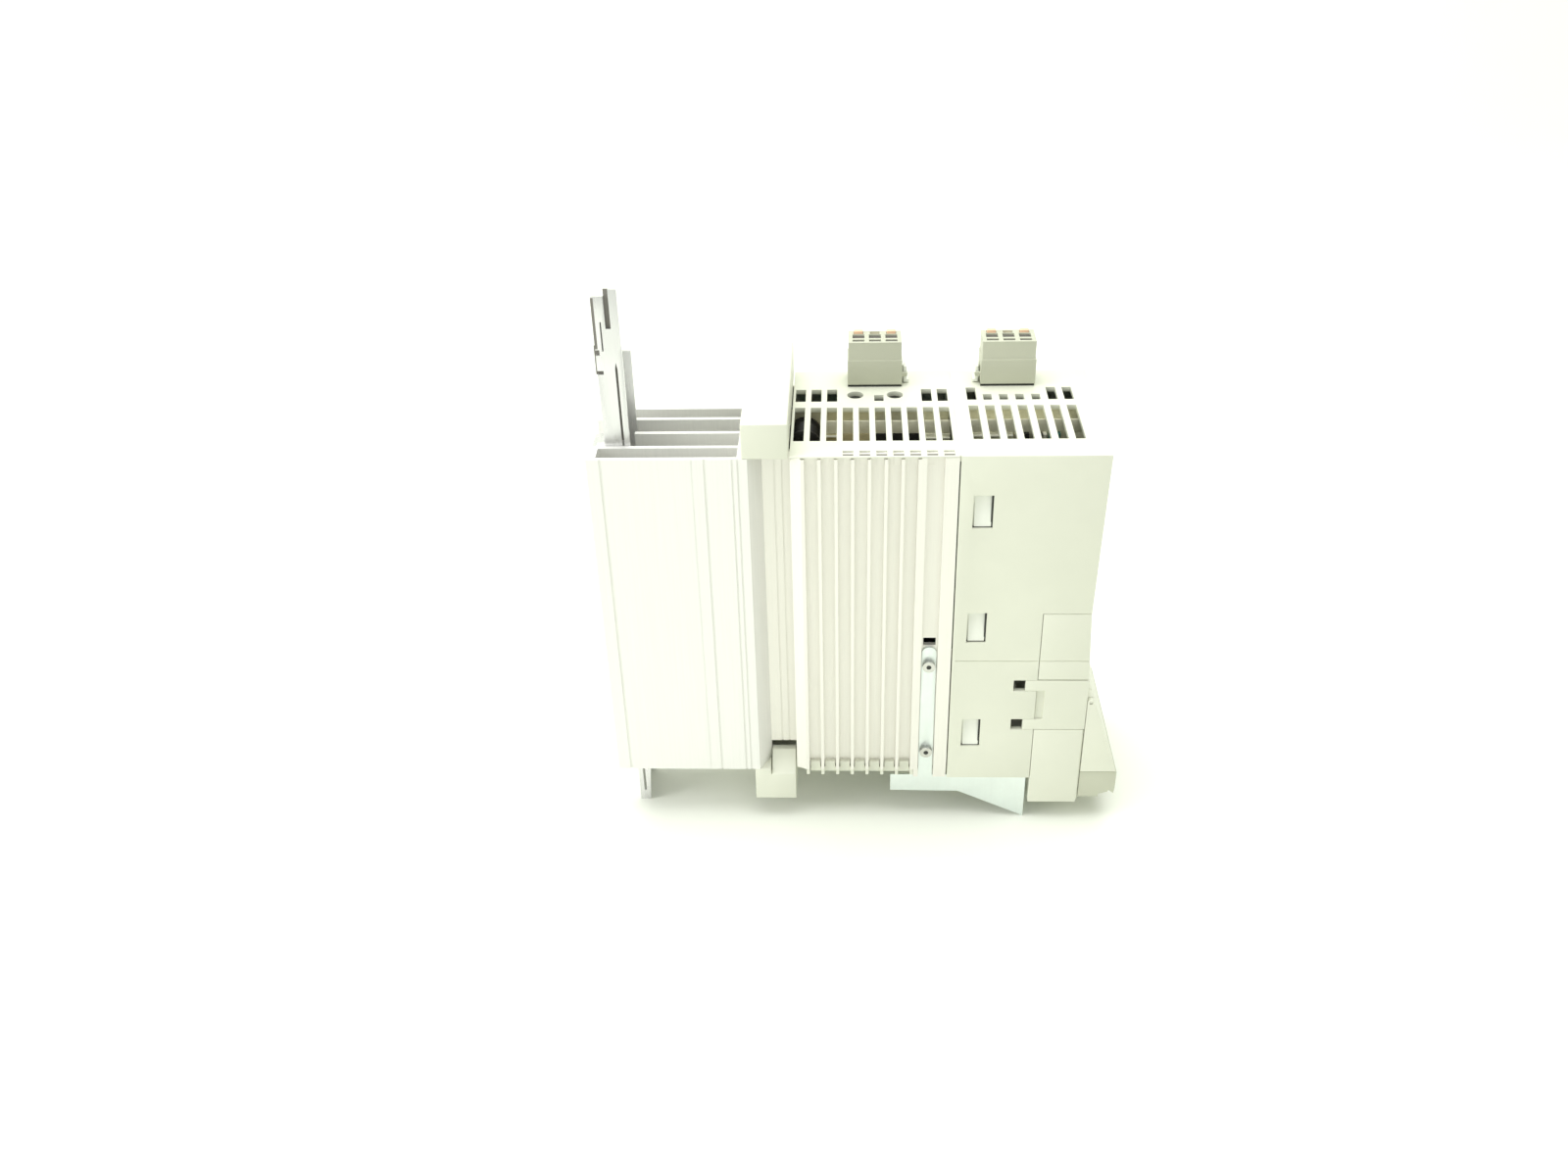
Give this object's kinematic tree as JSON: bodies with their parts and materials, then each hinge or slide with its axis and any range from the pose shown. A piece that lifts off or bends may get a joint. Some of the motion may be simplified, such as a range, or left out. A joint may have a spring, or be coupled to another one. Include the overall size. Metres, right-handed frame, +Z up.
{
  "type": "servo drive",
  "caption": "Wall-mounted compact servo drive with finned heat sink, ribbed aluminium sides, pale moulded front housing, pull-off supply plugs and an EMC shield sheet",
  "frame": {"origin": "on the wall plane, on the centre line of the mounting rails, level with the lower end of the heat sink", "axes": "+X away from the wall to the drive's front, +Y across the width to the plug side, +Z up"},
  "size_m": [0.2413, 0.086, 0.272],
  "materials": {
    "aluminium": "satin",
    "rail": "satin",
    "shell": "satin",
    "shell_inner": "satin",
    "terminal": "satin",
    "button": "gloss",
    "sheet": "brushed",
    "steel": "brushed",
    "contact": "polished",
    "dark_plastic": "matte",
    "board": "semi-gloss",
    "capacitor": "semi-gloss",
    "film": "matte",
    "ferrite": "matte",
    "copper": "varnished",
    "relay_case": "matte",
    "module_case": "matte",
    "clear": "clear"
  },
  "bodies": {
    "drive": {"heatsink": "aluminium", "rail_top": "rail", "rail_bottom": "rail", "collar_top": "shell", "collar_bottom": "shell", "side_panel_near": "aluminium", "side_panel_far": "aluminium", "top_cover": "shell", "bottom_cover": "shell", "cover_screws": "steel", "housing": "shell", "inner_frame": "shell_inner", "terminal_frame": "shell", "lower_pins": "contact", "hinge_pin": "steel", "control_pins": "contact", "shield_sheet": "sheet", "shield_screws": "steel", "mains_socket": "dark_plastic", "brake_socket": "dark_plastic", "socket_pins": "contact", "power_board": "board", "control_board": "board", "board_posts": "steel", "power_module": "dark_plastic", "module_screws": "steel", "bus_capacitors": "capacitor", "film_capacitors": "film", "choke_core": "ferrite", "choke_winding": "copper", "transformer": "film", "relay": "relay_case", "signal_sockets": "dark_plastic", "light_guides": "clear"},
    "mains plug": {"mains_plug": "terminal", "mains_clamps": "steel"},
    "brake plug": {"brake_plug": "terminal", "brake_clamps": "steel"},
    "mains latch": {"mains_latch": "terminal"},
    "brake latch": {"brake_latch": "terminal"},
    "terminal cover": {"terminal_cover": "shell"},
    "front lid": {"front_lid": "shell"},
    "lower plug": {"lower_plug": "shell"},
    "control terminals": {"control_terminals": "terminal"},
    "memory module": {"memory_module": "module_case"},
    "mains button 1": {"mains_button_1": "button"},
    "mains button 2": {"mains_button_2": "button"},
    "mains button 3": {"mains_button_3": "button"},
    "brake button 1": {"brake_button_1": "button"},
    "brake button 2": {"brake_button_2": "button"},
    "brake button 3": {"brake_button_3": "button"}
  },
  "joints": [
    {"name": "mains plug pull", "type": "slide", "parent": "drive", "child": "mains plug", "axis": [0, 0, 1], "range_m": [0, 0.012]},
    {"name": "mains button 1 press", "type": "slide", "parent": "mains plug", "child": "mains button 1", "axis": [0, 0, -1], "range_m": [0, 0.0015], "stiffness_N_per_m": 300},
    {"name": "mains button 2 press", "type": "slide", "parent": "mains plug", "child": "mains button 2", "axis": [0, 0, -1], "range_m": [0, 0.0015], "stiffness_N_per_m": 300},
    {"name": "mains button 3 press", "type": "slide", "parent": "mains plug", "child": "mains button 3", "axis": [0, 0, -1], "range_m": [0, 0.0015], "stiffness_N_per_m": 300},
    {"name": "mains latch swing", "type": "hinge", "parent": "mains plug", "child": "mains latch", "pos_m": [0.1382, 0.0503, 0.1758], "axis": [0, -1, 0], "range_deg": [0, 8], "stiffness_Nm_per_rad": 0.02},
    {"name": "brake plug pull", "type": "slide", "parent": "drive", "child": "brake plug", "axis": [0, 0, 1], "range_m": [0, 0.012]},
    {"name": "brake button 1 press", "type": "slide", "parent": "brake plug", "child": "brake button 1", "axis": [0, 0, -1], "range_m": [0, 0.0015], "stiffness_N_per_m": 300},
    {"name": "brake button 2 press", "type": "slide", "parent": "brake plug", "child": "brake button 2", "axis": [0, 0, -1], "range_m": [0, 0.0015], "stiffness_N_per_m": 300},
    {"name": "brake button 3 press", "type": "slide", "parent": "brake plug", "child": "brake button 3", "axis": [0, 0, -1], "range_m": [0, 0.0015], "stiffness_N_per_m": 300},
    {"name": "brake latch swing", "type": "hinge", "parent": "brake plug", "child": "brake latch", "pos_m": [0.1711, 0.0503, 0.1758], "axis": [0, 1, 0], "range_deg": [0, 8], "stiffness_Nm_per_rad": 0.02},
    {"name": "terminal cover hinge", "type": "hinge", "parent": "drive", "child": "terminal cover", "pos_m": [0.2254, 0.0175, 0.0406], "axis": [0, -1, 0], "range_deg": [0, 80]},
    {"name": "front lid pull", "type": "slide", "parent": "drive", "child": "front lid", "axis": [1, 0, 0], "range_m": [0, 0.03]},
    {"name": "lower plug pull", "type": "slide", "parent": "drive", "child": "lower plug", "axis": [0, 0, -1], "range_m": [0, 0.01]},
    {"name": "control terminals pull", "type": "slide", "parent": "drive", "child": "control terminals", "axis": [1, 0, 0], "range_m": [0, 0.01]},
    {"name": "memory module pull", "type": "slide", "parent": "drive", "child": "memory module", "axis": [1, 0, 0], "range_m": [0, 0.015]}
  ]
}
